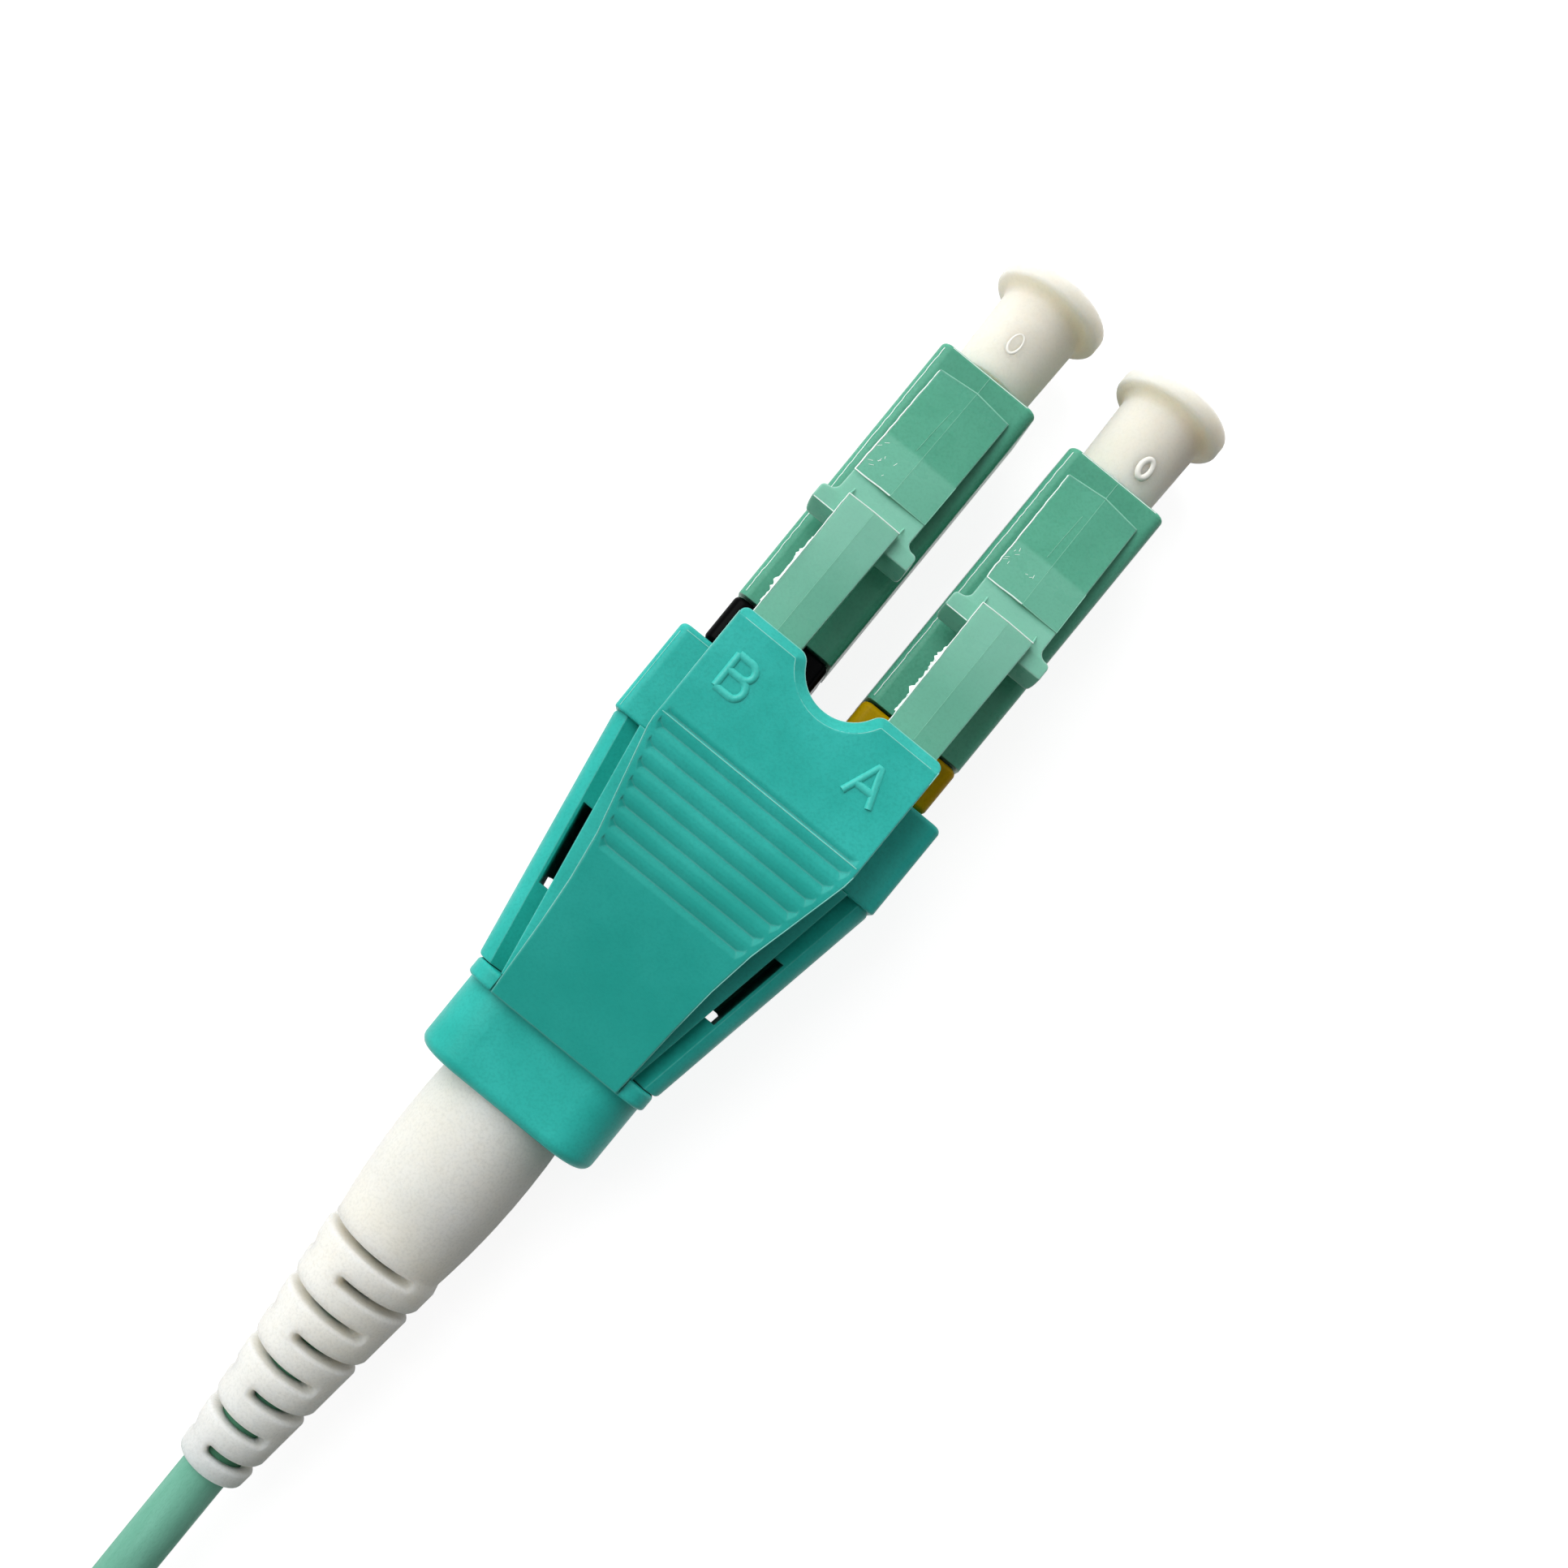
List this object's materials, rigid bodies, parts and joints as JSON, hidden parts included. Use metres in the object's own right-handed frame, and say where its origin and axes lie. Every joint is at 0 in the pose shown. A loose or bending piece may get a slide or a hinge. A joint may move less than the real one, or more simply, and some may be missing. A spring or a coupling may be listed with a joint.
{
  "type": "lc fibre connector",
  "caption": "Duplex LC fibre optic connector with one shared boot, a push-down release trigger, dust caps on the ferrules and a coiled cable.",
  "frame": {"origin": "midway between the two ferrule axes, on the plane of the plugs' front faces", "axes": "+Y along the ferrules, out of the plugs; +Z towards the latch arms and the trigger; +X towards plug A"},
  "size_m": [0.0295, 0.0991, 0.01],
  "materials": {
    "cap_white": "moulded, slightly glossy",
    "plug_green": "moulded, satin",
    "ceramic": "polished white ceramic",
    "plated_metal": "nickel plated",
    "spring_steel": "bright wire",
    "body_yellow": "moulded, satin",
    "body_black": "moulded, glossy",
    "housing_teal": "moulded, satin",
    "boot_white": "soft moulded",
    "fibre_buffer": "tight buffer",
    "cable_aqua": "satin cable jacket"
  },
  "bodies": {
    "connector": {"plug_housing_a": "plug_green", "plug_housing_b": "plug_green", "rear_body_a": "body_yellow", "rear_body_b": "body_black", "front_block": "housing_teal", "rear_shell_upper": "housing_teal", "rear_shell_lower": "housing_teal", "collar": "housing_teal", "boot": "boot_white", "crimp_post": "plated_metal", "crimp_sleeve": "plated_metal", "fibre_a": "fibre_buffer", "fibre_b": "fibre_buffer", "ferrule_spring_a": "spring_steel", "ferrule_spring_b": "spring_steel", "cable_in_boot": "cable_aqua", "cable": "cable_aqua", "cable_coil": "cable_aqua"},
    "trigger": {"trigger": "housing_teal"},
    "latch_a": {"latch_arm_a": "plug_green"},
    "latch_b": {"latch_arm_b": "plug_green"},
    "cap_a": {"dust_cap_a": "cap_white"},
    "cap_b": {"dust_cap_b": "cap_white"},
    "ferrule_a": {"ferrule_a": "ceramic", "ferrule_holder_a": "plated_metal"},
    "ferrule_b": {"ferrule_b": "ceramic", "ferrule_holder_b": "plated_metal"}
  },
  "joints": [
    {"name": "trigger_press", "type": "hinge", "parent": "connector", "child": "trigger", "pos_m": [0, -0.0294, 0.0035], "axis": [-1, 0, 0], "range_deg": [0, 6], "stiffness_Nm_per_rad": 0.76},
    {"name": "latch_a_flex", "type": "hinge", "parent": "connector", "child": "latch_a", "pos_m": [0.00313, -0.00135, 0.0025], "axis": [1, 0, 0], "range_deg": [0, 7.8]},
    {"name": "latch_b_flex", "type": "hinge", "parent": "connector", "child": "latch_b", "pos_m": [-0.00313, -0.00135, 0.0025], "axis": [1, 0, 0], "range_deg": [0, 7.8]},
    {"name": "dust_cap_a_pull", "type": "slide", "parent": "connector", "child": "cap_a", "axis": [0, 1, 0], "range_m": [0, 0.008]},
    {"name": "dust_cap_b_pull", "type": "slide", "parent": "connector", "child": "cap_b", "axis": [0, 1, 0], "range_m": [0, 0.008]},
    {"name": "ferrule_a_float", "type": "slide", "parent": "connector", "child": "ferrule_a", "axis": [0, 1, 0], "range_m": [-0.0008, 0], "stiffness_N_per_m": 1500, "springref_m": 0.002, "deforming": ["ferrule_spring_a"]},
    {"name": "ferrule_b_float", "type": "slide", "parent": "connector", "child": "ferrule_b", "axis": [0, 1, 0], "range_m": [-0.0008, 0], "stiffness_N_per_m": 1500, "springref_m": 0.002, "deforming": ["ferrule_spring_b"]}
  ],
  "couplings": [
    {"joint": "latch_a_flex", "follows": "trigger_press", "ratio": 1.3},
    {"joint": "latch_b_flex", "follows": "trigger_press", "ratio": 1.3}
  ]
}
